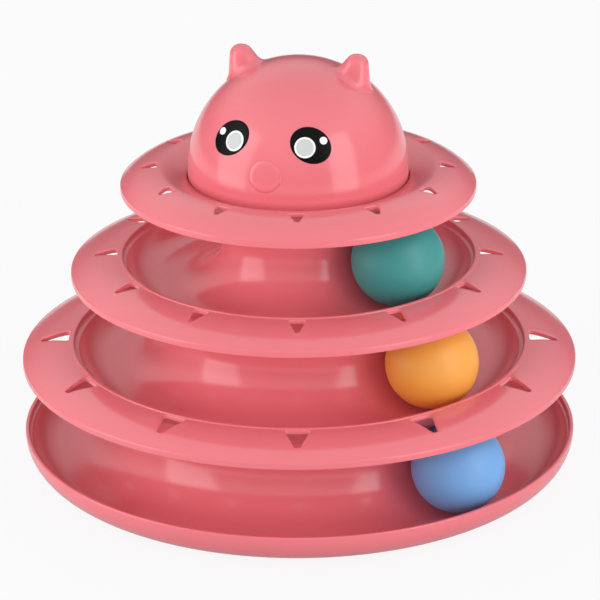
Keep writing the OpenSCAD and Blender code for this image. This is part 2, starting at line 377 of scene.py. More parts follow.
def lathed(tree, given, label, start=0.0):
    """The outline in an object, turned about the axis."""
    return add_node(tree, "GeometryNodeGroup",
                    {"Outline": from_object(tree, given, label), "Segments": given["Segments"],
                     "Start": start}, node_tree=LATHE)


def closed_skin(tree, mesh):
    """One skin, smooth and closed, from parts whose edges meet."""
    closed = add_node(tree, "GeometryNodeMergeByDistance", {"Geometry": mesh, "Distance": MERGE})
    return add_node(tree, "GeometryNodeSetShadeSmooth", {"Geometry": closed})


def hand_out(tree, mesh, given, result):
    """Give the mesh its plastic and make it the tree's result."""
    painted = add_node(tree, "GeometryNodeSetMaterial",
                       {"Geometry": mesh, "Material": given["Plastic"]})
    wire(tree, result, {0: painted})
    return tree


def turned_tree():
    tree, given, result = new_tree("turned_piece", {"Outline": "Object", "Segments": "Int",
                                                    "Tilt": "Vector", "Place": "Vector",
                                                    "Plastic": "Material"})
    moved = add_node(tree, "GeometryNodeTransform",
                     {"Geometry": closed_skin(tree, lathed(tree, given, "Outline")),
                      "Rotation": given["Tilt"], "Translation": given["Place"]})
    return hand_out(tree, moved, given, result)


TURNED = turned_tree()


def turned_piece(name, points, material, segments=SEGMENTS, tilt=(0, 0, 0), place=(0, 0, 0)):
    return run_tree(name, TURNED, Outline=outline_object(name + "_outline", points),
                    Segments=segments, Tilt=tilt, Place=[v * MM for v in place], Plastic=material)


# %% [markdown]
# ## The base tray
# The tray is a wide shallow channel round a tall hub. Its outside curves in under the rim like a
# saucer, its inside has a small step below the lip, and the hub ends in a plug that the next
# storey drops over. The hub runs into the floor in one large curve, a little wider than the
# ball, so the ball rolls in a smooth channel. That curve also mirrors the lamps as pale patches
# halfway up the hub, which a straight wall with a small fillet wouldn't do. The tray has no
# holes, so it is a single closed outline.

# %% Draw the outlines that every storey shares
COVE_STEPS = 16
FOOT_STEPS = 20


def track_inside(i, cove_r, cove_z):
    """From the lip of a track down over its small step and its floor to the foot of the hub."""
    step_z = rim_z[i] - rim_step_h
    lip_r = crest_r[i] - lip_w / 2
    low_angle = math.degrees(math.asin((step_z - cove_z) / cove_r))
    in_angle = -math.degrees(math.acos(min(1, (rim_in_r[i] - flat_r[i]) / cove_r)))
    cove = arc(flat_r[i], cove_z, cove_r, min(low_angle, in_angle), -90, COVE_STEPS)
    # The cove starts at the foot of the small step, and that corner is rounded too.
    cove[0] = cove[0][:2] + (0.3,)
    foot = arc(hub_r[i] + hub_foot, floor_z[i] + hub_foot, hub_foot, -90, -180, FOOT_STEPS)
    return [(lip_r, rim_z[i], 0.7), (lip_r, step_z + 0.3, 0.3)] + cove + foot


def hub_top(i):
    """The hub's shoulder, its plug for the next storey and its hollow inside."""
    top = under_z[i + 1]
    return [(hub_r[i], top, 0.8), (plug_r[i], top, 0.3), (plug_r[i], top + plug_h, 0.8),
            (plug_r[i] - sheet, top + plug_h, 0.5), (plug_r[i] - sheet, top - hub_wall, 0.5),
            (bore_r[i], top - hub_wall, 0.8), (bore_r[i], under_z[i], 0.5)]


# %% [markdown]
# Four rubber feet sit in shallow pockets under the tray. The same small tree cuts these pockets
# and the slots for the head's tongues: a tool is set out on a ring and taken away from the skin.
# A boolean is right here because the pockets are plain shapes in flat walls. It leaves sharp
# edges, so every edge that turns by more than 50 degrees is marked crisp.

# %% Build the pocket tree
CRISP = math.radians(50)


def ring_copies(tree, given, label):
    """Copies of an object set out round the axis, the first of them at the turn given."""
    points = add_node(tree, "GeometryNodePoints", {"Count": given["Count"]})
    index = add_node(tree, "GeometryNodeInputIndex")
    share = maths(tree, "DIVIDE", math.tau, given["Count"])
    angle = maths(tree, "ADD", maths(tree, "MULTIPLY", index, share), given["Turn"])
    spin = add_node(tree, "ShaderNodeCombineXYZ", {"Z": angle})
    ring = add_node(tree, "GeometryNodeInstanceOnPoints",
                    {"Points": points, "Instance": from_object(tree, given, label),
                     "Rotation": spin})
    return add_node(tree, "GeometryNodeRealizeInstances", {0: ring})


def pocket_tree():
    tree, given, result = new_tree("pockets", {"Skin": "Object", "Tool": "Object", "Count": "Int",
                                               "Turn": "Float", "Plastic": "Material"})
    cut = add_node(tree, "GeometryNodeMeshBoolean",
                   {"Mesh 1": from_object(tree, given, "Skin"),
                    "Mesh 2": ring_copies(tree, given, "Tool")},
                   operation="DIFFERENCE", solver="EXACT")
    return hand_out(tree, cut, given, result)


POCKETS = pocket_tree()


def cut_pockets(name, skin, tool, count, turn):
    """A copy of the skin with pockets, keeping the edges of the pockets crisp."""
    cut = run_tree(name, POCKETS, Skin=skin, Tool=tool, Count=count, Turn=math.radians(turn),
                   Plastic=PINK)
    cut.data.set_sharp_from_angle(angle=CRISP)
    return cut


def block(name, low_corner, high_corner):
    """A plain box to cut with or to build on, between two corners in millimetres."""
    xs, ys, zs = zip(low_corner, high_corner)
    return mesh_object(name, [(x, y, z) for x in xs for y in ys for z in zs],
                       [(0, 1, 3, 2), (4, 6, 7, 5), (0, 4, 5, 1), (2, 3, 7, 6), (0, 2, 6, 4),
                        (1, 5, 7, 3)])


# %% Turn the base tray
outer = arc(brim_r[0] - base_curve, under_z[0] + base_curve, base_curve, -90, 0, COVE_STEPS)
tray_points = rounded(outer + [(brim_r[0], rim_z[0], 0.9)]
                      + track_inside(0, base_cove, floor_z[0] + base_cove) + hub_top(0),
                      closed=True)
tray_blank = turned_piece("base_tray_blank", tray_points + tray_points[:1], PINK)

# %% Measure the feet and cut their pockets
FOOT_COUNT = 4
FOOT_TURN = 45
FOOT_SEGMENTS = 64
foot_low, foot_high = box_mm("rubber_foot_1")
foot_r = (foot_high[0] - foot_low[0]) / 2
foot_at = [(a + b) / 2 for a, b in zip(foot_low, foot_high)]
foot_ring = math.hypot(foot_at[0], foot_at[1])
pocket_r = foot_r + fit_gap
pocket = turned_piece("foot_pocket", [(0, -1), (pocket_r, -1), (pocket_r, foot_high[2]),
                                      (0, foot_high[2])],
                      PINK, segments=FOOT_SEGMENTS, place=(foot_ring, 0, 0))
tray = cut_pockets("base_tray_skin", tray_blank, pocket, FOOT_COUNT, FOOT_TURN)
stand_for(tray, "base", "pink_plastic", "base_tray")
print(f"feet: {2 * foot_r:.1f} mm across on a ring of {2 * foot_ring:.1f} mm")

# %% Turn the rubber feet
cup_h = 0.35
cup_r = foot_r * 0.55
tread_r = foot_r * 0.62
foot_points = rounded([(0, cup_h, 0), (cup_r, cup_h, 0.2), (tread_r, 0, 0.25), (foot_r, 0, 0.45),
                       (foot_r, foot_high[2], 0.2), (0, foot_high[2], 0)])
for k in range(FOOT_COUNT):
    a = math.radians(FOOT_TURN + 360 / FOOT_COUNT * k)
    foot = turned_piece(f"rubber_foot_{k + 1}_skin", foot_points, RUBBER, segments=FOOT_SEGMENTS,
                        place=(foot_ring * math.cos(a), foot_ring * math.sin(a), 0))
    stand_for(foot, "base", "foot_rubber", f"rubber_foot_{k + 1}")

# %% [markdown]
# ## The brims and their holes
# Each brim has twelve triangular holes. Cutting them with booleans would leave long thin faces
# that shade badly, so the mesh is laid out round the hole instead: rings of points lead from the
# rounded triangle out to the edges of one sector of the brim. Every point then gets its height
# from the curve of the brim, top and bottom, and the rim of the hole is rounded over.

# %% Lay out one sector of a brim
HOLES = 12
AROUND = SEGMENTS // HOLES
ACROSS = 12
SIDES = (AROUND, ACROSS, AROUND, ACROSS)
RINGS = 7
RING_SPREAD = 1.3
hole_turn = 17.0


def spread(count):
    """Shares from 0 to 1, closer together near both ends."""
    return [(1 - math.cos(math.pi * k / count)) / 2 for k in range(count)]


def hole_outline(r0, length, width, tip, corner):
    """Points round a blunt triangle, as many on each side as its sector has."""
    corners = [Vector(c) for c in ((r0, width / 2), (r0, -width / 2),
                                   (r0 + length, -tip / 2), (r0 + length, tip / 2))]
    points = []
    for k, count in enumerate(SIDES):
        points += [corners[k].lerp(corners[(k + 1) % 4], s) for s in spread(count)]
    smooth = []
    for p in points:
        for k in range(4):
            here = corners[k]
            back = (corners[k - 1] - here).normalized()
            ahead = (corners[(k + 1) % 4] - here).normalized()
            inward = (back + ahead).normalized()
            half = back.angle(ahead) / 2
            size = min(corner, 0.45 * tip) if k > 1 else corner
            centre = here + inward * size / math.sin(half)
            if (p - here).length < size / math.tan(half):
                p = centre + (p - centre).normalized() * size
        smooth.append(p)
    return smooth


def grown(points, distance):
    """The outline moved outwards, away from the hole."""
    result = []
    for k, p in enumerate(points):
        along = (points[(k + 1) % len(points)] - points[k - 1]).normalized()
        result.append(p + Vector((along.y, -along.x)) * distance)
    return result


def sector_edge(r_in, r_out):
    """Radius and angle of the points round one sector, side by side as on the hole."""
    half = math.pi / HOLES
    corners = ((r_in, half), (r_in, -half), (r_out, -half), (r_out, half))
    ring = []
    for k, count in enumerate(SIDES):
        (r0, a0), (r1, a1) = corners[k], corners[(k + 1) % 4]
        ring += [(r0 + (r1 - r0) * s / count, a0 + (a1 - a0) * s / count) for s in range(count)]
    return ring


def sector_mesh(name, hole, r_in, r_out, top, bottom, edge=0.5, steps=4):
    """One twelfth of a brim. top and bottom give its height at a radius."""
    polar = lambda p: (p.length, math.atan2(p.y, p.x))
    border = sector_edge(r_in, r_out)
    layers = []
    for s in range(steps + 1):
        turn = math.pi / 2 * s / steps
        out, down = edge * (1 - math.cos(turn)), edge * (1 - math.sin(turn))
        layers.append(([polar(p) for p in grown(hole, out)], down))
    last = layers[-1][0]
    for k in range(1, RINGS + 1):
        t = (k / RINGS) ** RING_SPREAD
        layers.append(([(a[0] + (b[0] - a[0]) * t, a[1] + (b[1] - a[1]) * t)
                        for a, b in zip(last, border)], 0.0))
    count = len(hole)
    verts, faces = [], []
    for sign, height in ((1, top), (-1, bottom)):
        base = len(verts)
        for ring, down in layers:
            verts += [(r * math.cos(a), r * math.sin(a), height(r) - sign * down) for r, a in ring]
        for j in range(len(layers) - 1):
            for k in range(count):
                a, b = base + j * count + k, base + j * count + (k + 1) % count
                quad = [a, a + count, b + count, b]
                faces.append(quad if sign > 0 else quad[::-1])
    lower = len(layers) * count
    for k in range(count):
        a, b = k, (k + 1) % count
        faces.append([a, b, lower + b, lower + a])
    return mesh_object(name, verts, faces)


# %% [markdown]
# One tree then makes a whole storey: the sector is placed twelve times round the axis, the
# outlines of the bowl and of the rolled edge are turned, and the points that meet are merged, so
# the storey is one closed skin with one smooth shade across it.

# %% Build the tree of one storey


def storey_tree():
    tree, given, result = new_tree("storey", {"Bowl": "Object", "Edge": "Object",
                                              "Sector": "Object", "Segments": "Int",
                                              "Count": "Int", "Turn": "Float",
                                              "Plastic": "Material"})
    half = maths(tree, "DIVIDE", math.pi, given["Count"])
    start = maths(tree, "SUBTRACT", given["Turn"], half)
    parts = [lathed(tree, given, label, start) for label in ("Bowl", "Edge")]
    parts.append(ring_copies(tree, given, "Sector"))
    joined = add_node(tree, "GeometryNodeJoinGeometry")
    for part in parts:
        wire(tree, joined, {0: part})
    return hand_out(tree, closed_skin(tree, joined), given, result)


STOREY = storey_tree()


def brim_curve(r0, z0, r1, z1):
    """The convex fall of a brim from its crest: its height at a radius, top and bottom."""
    width, fall = r1 - r0, z0 - z1
    big = (width * width + fall * fall) / (2 * fall)
    top = lambda r: z0 - big + math.sqrt(big * big - (r - r0) ** 2)
    bottom = lambda r: z0 - big + math.sqrt((big - sheet) ** 2 - (r - r0) ** 2)
    return top, bottom


def storey(name, bowl, edge, sector):
    return run_tree(name, STOREY, Bowl=outline_object(name + "_bowl", bowl),
                    Edge=outline_object(name + "_edge", edge), Sector=sector, Segments=SEGMENTS,
                    Count=HOLES, Turn=math.radians(hole_turn - 90), Plastic=PINK)


def rolled_edge(r_out, r_edge, top, bottom):
    """The edge of a brim: over its outer corner, down, and back up to its underside."""
    foot = top(r_edge) - edge_h
    return rounded([(r_out, top(r_out), 0), (r_edge, top(r_edge), 0.9), (r_edge, foot, 0.5),
                    (r_edge - edge_w, foot, 0.5), (r_edge - edge_w, bottom(r_edge - edge_w), 0.7),
                    (r_out, bottom(r_out), 0)])


# %% Make the middle and upper tracks
HOLE_SIZES = ((12.4, 11.4), (10.0, 7.8))
hole_inset = 1.7
hole_corner = 1.1
tip_share = 0.22
crest_flat = 0.3
edge_run = 1.2


def brim_parts(name, r0, z0, r1, z1, hole_r, length, width):
    """The holed ring of a brim, its rolled edge, and the points where it meets the rest."""
    top, bottom = brim_curve(r0, z0, r1, z1)
    r_in, r_out = r0 + crest_flat, r1 - edge_w - edge_run
    hole = hole_outline(hole_r, length, width, width * tip_share, hole_corner)
    sector = sector_mesh(name + "_sector", hole, r_in, r_out, top, bottom)
    edge = rolled_edge(r_out, r1, top, bottom)
    return sector, edge, (r_in, top(r_in), 0), (r_in, bottom(r_in), 0)


for i, body in ((1, "middle"), (2, "upper")):
    start_r, start_z = crest_r[i] + lip_w / 2, rim_z[i] - lip_h
    sector, edge, over, under = brim_parts(body, start_r, start_z, brim_r[i],
                                           rim_z[i] - brim_drop, crest_r[i] + hole_inset,
                                           *HOLE_SIZES[i - 1])
    cove_z = under_z[i] + curve_r[i]
    join_angle = math.degrees(math.asin((start_z - sheet - bevel - cove_z) / curve_r[i]))
    skin = arc(flat_r[i], cove_z, curve_r[i], join_angle, -90, COVE_STEPS)
    inside = track_inside(i, curve_r[i] - sheet, cove_z) + hub_top(i)
    bowl = rounded([under] + skin + inside[::-1]
                   + [(start_r, rim_z[i], 0.6), (start_r, start_z, 0.25), over])
    track = storey(f"{body}_track_skin", bowl, edge, sector)
    stand_for(track, body, "pink_plastic", f"{body}_track")

# %% [markdown]
# ## The top disc
# The disc closes the tower. Its brim is the same holed ring, but inside the crest it dips into
# a round seat for the head, stands on the upper hub with a short collar, and has a boss round
# the hub's plug. Three slots in the seat take the tongues of the head.

# %% Size the top disc and the head's seat
seat_rise_h = 4.2
rise_bend = 1.4
RISE_STEPS = 14
crest_share = 0.4
hole_start_share = 0.448
hole_length_share = 0.22
skirt_h = 3.4
boss_wall = 2.2
boss_h = 10.0
tongue_t = 1.6
tongue_w = 8.0
tongue_count = 3
tongue_turn = 60
skirt_r = head_high[0]
seat_r = skirt_r + fit_gap
crest_z = disc_high[2]
seat_top_z = crest_z - seat_rise_h
seat_z = seat_top_z - skirt_h + fit_gap
web_z = seat_z - sheet
top_w = brim_r[3] - seat_r
top_crest_r = seat_r + crest_share * top_w
tongue_r = skirt_r - sheet - tongue_t
bore_in_r = plug_r[2] + fit_gap
collar_r = bore_r[2] - hub_wall
disc_edge_z = under_z[3] + sheet + tray_depth - brim_drop - bevel
boss_top_z = under_z[3] + boss_h
print(f"seat for the head: {2 * seat_r:.1f} mm across at a height of {seat_z:.1f} mm")

# %% Make the top disc
sector, edge, over, under = brim_parts("top", top_crest_r, crest_z, brim_r[3], disc_edge_z,
                                       seat_r + hole_start_share * top_w,
                                       hole_length_share * top_w, HOLE_SIZES[1][1])
rise = [(top_crest_r - (top_crest_r - seat_r) * k / RISE_STEPS,
         crest_z - seat_rise_h * (k / RISE_STEPS) ** rise_bend, 0) for k in range(RISE_STEPS)]
bowl = rounded([under, (seat_r + sheet, seat_top_z - sheet, 0.8), (seat_r + sheet, web_z, 0.4),
                (hub_r[2], web_z, 0.5), (hub_r[2], under_z[3], 0.8), (collar_r, under_z[3], 0.4),
                (collar_r, web_z, 0.5), (bore_in_r, web_z, 0.3),
                (bore_in_r, boss_top_z, 0.5), (bore_in_r + boss_wall, boss_top_z, 0.7),
                (bore_in_r + boss_wall, seat_z, 0.6), (seat_r, seat_z, 0.4),
                (seat_r, seat_top_z, 0.5)] + rise[::-1] + [over])
blank = storey("top_disc_blank", bowl, edge, sector)
slot = block("tongue_slot", (tongue_r - fit_gap, -tongue_w / 2 - fit_gap, web_z - 1),
             (tongue_r + tongue_t + fit_gap, tongue_w / 2 + fit_gap, seat_z + 1))
disc = cut_pockets("top_disc_skin", blank, slot, tongue_count, tongue_turn)
stand_for(disc, "top", "pink_plastic", "top_disc")

# %% [markdown]
# ## The balls
# A ball is half a circle turned about its own axis. The axis is laid on its side, so that the
# poles of the mesh don't face the camera, and the ball is moved to its place in the track.

# %% Turn the balls
BALL_SEGMENTS = 128
BALL_LEAN = math.radians(80)
ball_half = [(max(x, 0), z) for x, z, corner in arc(0, 0, ball_r, -90, 90, BALL_SEGMENTS // 2)]
for node, material, place, turn in zip(BALLS, (BLUE, ORANGE, TEAL), ball_at, (20, 75, 40)):
    ball = turned_piece(node + "_skin", ball_half, material, segments=BALL_SEGMENTS,
                        tilt=(BALL_LEAN, 0, math.radians(turn)), place=place)
    stand_for(ball, node.split("_")[0], node, node)

# %% [markdown]
# ## The head
# The dome is turned like the trays: a ball that widens into a short skirt, with a hollow inside.
# The ears can't be turned. Each is described by a distance function, which says how far any
# point is from the surface: a rounded triangular plate that is thicker in its middle, joined to
# the dome with a small fillet. A cap of points is then pulled onto the surface and evened out,
# step by step, as a sculptor relaxes a mesh.

# %% Draw the outline of the dome
DOME_SEGMENTS = 256
DOME_STEPS = 72
FLARE_STEPS = 12
skirt_flare = 0.3
flare_h = 1.8
flare_in = 0.05
head_rise = 7.1
head_r = skirt_r - skirt_flare
head_z = seat_z + head_rise
inner_r = head_r - sheet
neck_turn = 1.5


def hermite(p, q, dp, dq, count):
    """Points of a smooth curve from p to q that leaves along dp and arrives along dq."""
    t = np.arange(1, count)[:, None] / count
    curve = ((2 * t ** 3 - 3 * t ** 2 + 1) * p + (t ** 3 - 2 * t ** 2 + t) * dp
             + (3 * t ** 2 - 2 * t ** 3) * q + (t ** 3 - t ** 2) * dq)
    return [(x, z, 0) for x, z in curve]


dome = arc(0, head_z, head_r, neck_turn, 90, DOME_STEPS)[:-1]
hollow = arc(0, head_z, inner_r, 90, 0, DOME_STEPS // 2)[1:]
flare_at = (skirt_r - flare_in, seat_z + skirt_h + flare_h)
neck_at = np.array(dome[0][:2])
fall = np.linalg.norm(neck_at - flare_at)
neck = math.radians(neck_turn)
flare = hermite(np.array(flare_at), neck_at, np.array((0, fall)),
                np.array((-math.sin(neck), math.cos(neck))) * fall, FLARE_STEPS)

# %% Turn the dome
dome_points = rounded([(skirt_r - sheet, seat_z, 0.4), (skirt_r, seat_z, 0.4),
                       flare_at + (0.6,)] + flare + dome + [(0, head_z + head_r, 0),
                                                            (0, head_z + inner_r, 0)]
                      + hollow + [(inner_r, seat_z + skirt_h + 0.2, 0.8),
                                  (skirt_r - sheet, seat_z + skirt_h - bevel, 0.6)], closed=True)
dome_piece = turned_piece("dome", dome_points + dome_points[:1], PINK, segments=DOME_SEGMENTS)

# %% Describe an ear by its distance
EAR_SIDE = np.array([(16.8, 37.4), (28.2, 28.8), (27.0, 48.1), (26.0, 48.1)])
EAR_BELLY = (24.5, 39.0)
EAR_BELLY_SPREAD = (5.0, 8.0)
ear_round = 4.7
ear_back = 1.9
ear_swell = 1.8
ear_fillet = 3.0


def polygon_distance(points, corners):
    """Distance to a flat outline, negative inside."""
    nearest = np.full(len(points), np.inf)
    inside = np.ones(len(points), dtype=bool)
    for k in range(len(corners)):
        a, b = corners[k], corners[(k + 1) % len(corners)]
        along = b - a
        t = np.clip((points - a) @ along / (along @ along), 0, 1)
        nearest = np.minimum(nearest, np.linalg.norm(points - a - t[:, None] * along, axis=1))
        side = along[0] * (points[:, 1] - a[1]) - along[1] * (points[:, 0] - a[0])
        inside &= side >= 0
    return np.where(inside, -nearest, nearest)


def smooth_min(a, b, k):
    """The lesser of two distances, with a fillet about as large as k where they meet."""
    h = np.maximum(k - np.abs(a - b), 0) / k
    return np.minimum(a, b) - h * h * k / 4


def head_distance(p):
    """Distance to the dome with its right ear. p is in millimetres from the dome's centre."""
    flat = polygon_distance(p[:, [0, 2]], EAR_SIDE)
    belly_x = (p[:, 0] - EAR_BELLY[0]) / EAR_BELLY_SPREAD[0]
    belly_z = (p[:, 2] - EAR_BELLY[1]) / EAR_BELLY_SPREAD[1]
    half = ear_swell * np.exp(-belly_x ** 2 - belly_z ** 2)
    thick = np.abs(p[:, 1] - ear_back) - half
    plate = (np.hypot(np.maximum(flat, 0), np.maximum(thick, 0))
             + np.minimum(np.maximum(flat, thick), 0) - ear_round)
    dome = np.linalg.norm(p, axis=1) - head_r
    return smooth_min(dome, plate, ear_fillet)


# %% Pull a cap of points onto the ear
EAR_AROUND, EAR_ROWS = 128, 56
EAR_MIDDLE = np.array((23.8, 2.2, 42.0))
EAR_TIP = np.array((26.4, 1.8, 52.8))
EAR_FOOT = (11.5, 9.0)
PULLS = 90
EVENED_PULLS = 81


def first_cap(overshoot=1.1, narrowing=0.3):
    """A rough cap of rows round the ear, whose rim lies on the dome."""
    out = EAR_MIDDLE / np.linalg.norm(EAR_MIDDLE)
    across = np.cross((0, 1, 0), out)
    across /= np.linalg.norm(across)
    ahead = np.cross(out, across)
    turn = np.linspace(0, math.tau, EAR_AROUND, endpoint=False)
    ring = (np.outer(np.cos(turn) * EAR_FOOT[0], across)
            + np.outer(np.sin(turn) * EAR_FOOT[1], ahead))
    rim = EAR_MIDDLE + ring
    rim *= head_r / np.linalg.norm(rim, axis=1)[:, None]
    rows = [rim]
    for k in range(1, EAR_ROWS):
        t = k / (EAR_ROWS - 0.5)
        narrow = np.sqrt(1 - t * t)
        rows.append(EAR_MIDDLE + (EAR_TIP - EAR_MIDDLE) * t * overshoot
                    + ring * narrow * (1 - narrowing * t))
    return np.array(rows)


def ear_surface(small=0.02, pull=0.9, least_slope=0.2):
    """Points of the right ear, row by row from its rim on the dome to its tip."""
    points = first_cap()
    for step in range(PULLS):
        flat = points[1:].reshape(-1, 3)
        value = head_distance(flat)
        slope = np.stack([head_distance(flat + d) - head_distance(flat - d)
                          for d in np.eye(3) * small], axis=1) / (2 * small)
        slope /= np.maximum(np.linalg.norm(slope, axis=1), least_slope)[:, None]
        flat = flat - value[:, None] * slope * pull
        points[1:] = flat.reshape(EAR_ROWS - 1, EAR_AROUND, 3)
        if step >= EVENED_PULLS:
            continue
        pole = points[-1].mean(axis=0, keepdims=True).repeat(EAR_AROUND, axis=0)
        padded = np.concatenate([points, pole[None]])
        near = (padded[:-2] + padded[2:]) / 2
        side = (np.roll(points, 1, axis=1) + np.roll(points, -1, axis=1))[1:] / 2
        points[1:] += 0.5 * ((near + side) / 2 - points[1:])
    return points


def ring_faces(starts, count):
    """Faces between rings of points, each ring given by the index of its first point."""
    return [(a + k, a + (k + 1) % count, b + (k + 1) % count, b + k)
            for a, b in zip(starts, starts[1:]) for k in range(count)]


def patch_mesh(name, rows, sink, centre, material):
    """A skin of rows of points that closes in a tip, with its rim sunk a little and closed."""
    count = len(rows[0])
    tip = rows[-1].mean(axis=0)
    out = rows[0] - centre
    low_ring = rows[0] - out / np.linalg.norm(out, axis=1)[:, None] * sink
    verts = np.concatenate([low_ring.mean(axis=0)[None], low_ring] + list(rows) + [tip[None]])
    starts = range(1, len(verts) - 1, count)
    faces = ring_faces(starts, count)
    for k in range(count):
        ahead = (k + 1) % count
        faces += [(0, 1 + ahead, 1 + k), (starts[-1] + k, starts[-1] + ahead, len(verts) - 1)]
    return mesh_object(name, verts, faces, material=material)


def joined(name, pieces):
    """One piece from several, all already in place."""
    mesh = bpy.data.meshes.new(name)
    write_skin(mesh, [piece.data for piece in pieces])
    for piece in pieces:
        scene.collection.objects.unlink(piece)
    mesh.materials.append(pieces[0].data.materials[0])
    return placed(name, mesh)


# %% Make both ears
centre = np.array((0.0, 0.0, head_z))
ear_sink = 0.4
right_rows = ear_surface()
left_rows = (right_rows * (-1, 1, 1))[:, ::-1]
right_ear = patch_mesh("right_ear", right_rows + centre, ear_sink, centre, PINK)
left_ear = patch_mesh("left_ear", left_rows + centre, ear_sink, centre, PINK)
print(f"ears: {right_rows[..., 2].max() + head_z:.1f} mm above the ground")

# %% [markdown]
# ## The face
# The snout is a low round rise in the moulding. The eyes are printed in layers of ink, and each
# layer is a thin skin laid on the ball with a soft edge: a black oval, a pale disc in a white
# ring, and a small white dot. One function lays any ellipse on the ball at a turn and a lift.

# %% Lay an ellipse on the dome


def facing(turn, lift):
    """The outward, across and upward directions at a turn and a lift, both in degrees."""
    a, e = math.radians(turn), math.radians(lift)
    out = np.array((math.sin(a) * math.cos(e), -math.cos(a) * math.cos(e), math.sin(e)))
    across = np.array((math.cos(a), math.sin(a), 0.0))
    return out, across, np.cross(out, across)


def ellipse_patch(name, turn, lift, long_d, short_d, slope, low_r, high_r, material,
                  inner_share=0.0, edge=0.2, around=96, rings=10, edge_rows=4, sink=0.05):
    """A thin raised ellipse on the ball, or a ring where inner_share is set."""
    out, across, up = facing(turn, lift)
    a = np.linspace(0, math.tau, around, endpoint=False)
    tilt = math.radians(slope)
    x = np.cos(a) * long_d / 2
    y = np.sin(a) * short_d / 2
    outline = (np.outer(x * math.cos(tilt) - y * math.sin(tilt), across)
               + np.outer(x * math.sin(tilt) + y * math.cos(tilt), up))
    reach = np.linalg.norm(outline, axis=1)[:, None]
    rows = []
    for k in range(edge_rows + 1):
        t = math.pi / 2 * k / edge_rows
        inset = edge * (1 - math.cos(t))
        rows.append((1 - inset / reach, low_r + (high_r - low_r) * math.sin(t)))
    start = rows[-1][0]
    steps = rings if inner_share == 0 else 2
    for k in range(1, steps + (inner_share > 0)):
        rows.append((start + (inner_share - start) * k / steps, high_r))
    if inner_share:
        rows.append((np.full_like(reach, inner_share), low_r))
    skins = []
    for share, radius in rows:
        p = out * high_r + outline * share
        p = p / np.linalg.norm(p, axis=1)[:, None] * radius
        skins.append(p + centre)
    if inner_share == 0:
        return patch_mesh(name, np.array(skins), sink, centre, material)
    # A ring has no tip: its last row joins its first.
    faces = ring_faces([*range(0, len(skins) * around, around), 0], around)
    return mesh_object(name, np.concatenate(skins), faces, material=material)


# %% Join the head with its snout and tongues
snout_lift = 12.5
snout_d = 14.6
snout_h = 0.5
snout_edge = 2.6
tongue_l = seat_z - head_low[2]
tongue_root = 3.0
snout = ellipse_patch("snout", 0, snout_lift, snout_d, snout_d, 0, head_r, head_r + snout_h, PINK,
                      edge=snout_edge)
tongues = []
for k in range(tongue_count):
    tongue = block(f"tongue_{k}", (tongue_r, -tongue_w / 2, seat_z - tongue_l),
                   (tongue_r + tongue_t, tongue_w / 2, seat_z + tongue_root))
    a = math.radians(tongue_turn + 360 / tongue_count * k)
    tongue.data.transform(Matrix.Rotation(a, 4, "Z"))
    tongues.append(tongue)
head = joined("head_skin", [dome_piece, right_ear, left_ear, snout] + tongues)
head.data.set_sharp_from_angle(angle=CRISP)
stand_for(head, "head", "pink_plastic", "head_dome")
print(f"head: {len(head.data.polygons)} faces, dome {2 * head_r:.1f} mm across")

# %% Print the eyes
eye_turn, eye_lift, eye_slope = 24.9, 29.0, 30.0
eye_l, eye_w = 18.7, 15.8
# Each spot's turn and lift from the middle of the eye in degrees, its diameter, slot and ink
SPOTS = {"disc": (-3.5, -1.2, 7.4, "eye_grey", GREY_INK, {"edge": 0.05}),
         "ring": (-3.5, -1.2, 9.2, "eye_white", WHITE_INK, {"edge": 0.15, "inner_share": 0.805}),
         "dot": (7.6, 1.8, 3.4, "eye_white", WHITE_INK, {"edge": 0.15, "around": 48})}
ink_h = 0.25
first_r, second_r = head_r + ink_h, head_r + 2 * ink_h
for side, name in ((-1, "left_eye"), (1, "right_eye")):
    black = ellipse_patch(name + "_skin", side * eye_turn, eye_lift, eye_l, eye_w,
                          -side * eye_slope, head_r, first_r, BLACK_INK)
    stand_for(black, "head", "eye_black", name)
    for spot, (turn, lift, d, slot, ink, form) in SPOTS.items():
        layer = ellipse_patch(f"{name}_{spot}_skin", side * (eye_turn + turn), eye_lift + lift,
                              d, d, 0, first_r, second_r, ink, **form)
        stand_for(layer, "head", slot, f"{name}_{spot}")
    print(f"{name}: {1 + len(SPOTS)} layers of ink, {eye_l} by {eye_w} mm")

# %% [markdown]
# ## The studio
# The camera stands far off, a little to the right of the face, and looks down on the toy through
# a long lens. Such a view has nearly parallel lines, as a shop picture has. Its place, tilt and
# lens were worked out from how round or flat the brims look at each height.

# %% Set up the camera
CAMERA_TURN = 17.5
CAMERA_PITCH = 21.941
CAMERA_ROLL = -0.305
CAMERA_AT = (0.5, -1267.4, 583.5)
FOCAL_PX = 3030.0
PHOTO_W = 600
SENSOR_W = 36.0


def studio_camera():
    data = bpy.data.cameras.new("camera")
    camera = placed("camera", data)
    data.sensor_width = SENSOR_W
    data.lens = FOCAL_PX * SENSOR_W / PHOTO_W
    data.clip_start, data.clip_end = 0.05, 20.0
    pitch, roll = math.radians(CAMERA_PITCH), math.radians(CAMERA_ROLL)
    ahead = Vector((0, math.cos(pitch), -math.sin(pitch)))
    up = Vector((0, math.sin(pitch), math.cos(pitch)))
    right = Vector((1, 0, 0))
    tilted_right = right * math.cos(roll) + up * math.sin(roll)
    tilted_up = up * math.cos(roll) - right * math.sin(roll)
    view = Matrix((tilted_right, tilted_up, -ahead)).transposed()
    around = Matrix.Rotation(math.radians(CAMERA_TURN), 3, "Z")
    camera.matrix_world = (Matrix.Translation(around @ Vector(CAMERA_AT) * MM)
                           @ (around @ view).to_4x4())
    scene.camera = camera


studio_camera()
print(f"lens: {scene.camera.data.lens:.1f} mm")

